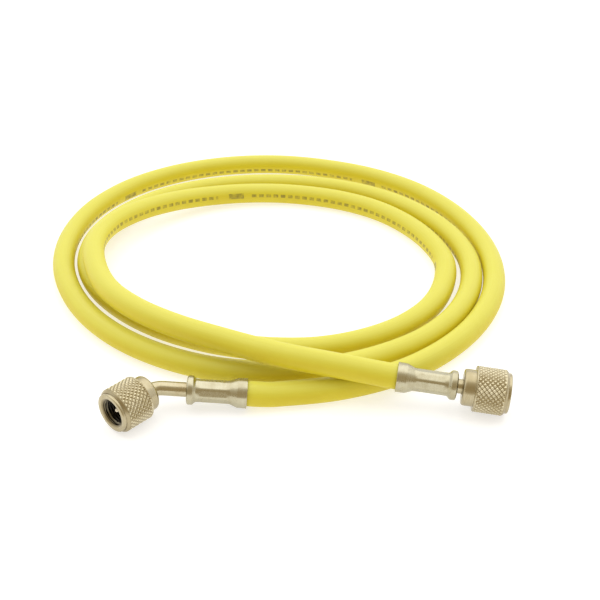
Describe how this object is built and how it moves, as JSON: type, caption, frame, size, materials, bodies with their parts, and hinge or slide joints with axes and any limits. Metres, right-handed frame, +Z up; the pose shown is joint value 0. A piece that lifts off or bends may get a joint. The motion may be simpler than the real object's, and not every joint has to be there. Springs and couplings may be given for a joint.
{
  "type": "refrigerant charging hose",
  "caption": "Loosely coiled flexible charging hose with crimped ferrules and knurled swivel nuts, one nut on a bent stem with a valve-core depressor.",
  "frame": {"origin": "centre of the overall box in plan, on the floor that the coil lies on", "axes": "+Z up out of the flat coil, which is the part's shortest extent; +Y from the fittings towards the far side of the coil, which is its longest extent; +X from the elbow end towards the straight end"},
  "size_m": [0.2226, 0.2447, 0.0239],
  "materials": {
    "hose_rubber": "smooth extruded yellow rubber jacket with a slight satin sheen",
    "ferrule_plating": "nickel-plated brass, crimped, softly polished",
    "stem_plating": "nickel-plated brass tube",
    "nut_plating": "nickel-plated brass, diamond knurled grip, turned hub and lip",
    "seal_rubber": "black moulded seal",
    "depressor_brass": "bare turned brass"
  },
  "bodies": {
    "hose_assembly": {"hose": "hose_rubber", "elbow_ferrule": "ferrule_plating", "elbow_stem": "stem_plating", "core_depressor": "depressor_brass", "straight_ferrule": "ferrule_plating", "straight_stem": "stem_plating"},
    "elbow_swivel": {"elbow_nut": "nut_plating", "elbow_gasket": "seal_rubber"},
    "straight_swivel": {"straight_nut": "nut_plating", "straight_gasket": "seal_rubber"}
  },
  "joints": [
    {"name": "elbow_nut_spin", "type": "hinge", "parent": "hose_assembly", "child": "elbow_swivel", "pos_m": [-0.05641, -0.10959, 0.00945], "axis": [-0.682, -0.7314, 0], "continuous": true},
    {"name": "straight_nut_spin", "type": "hinge", "parent": "hose_assembly", "child": "straight_swivel", "pos_m": [0.0866, -0.10243, 0.01001], "axis": [0.9862, -0.1474, -0.075], "continuous": true}
  ]
}
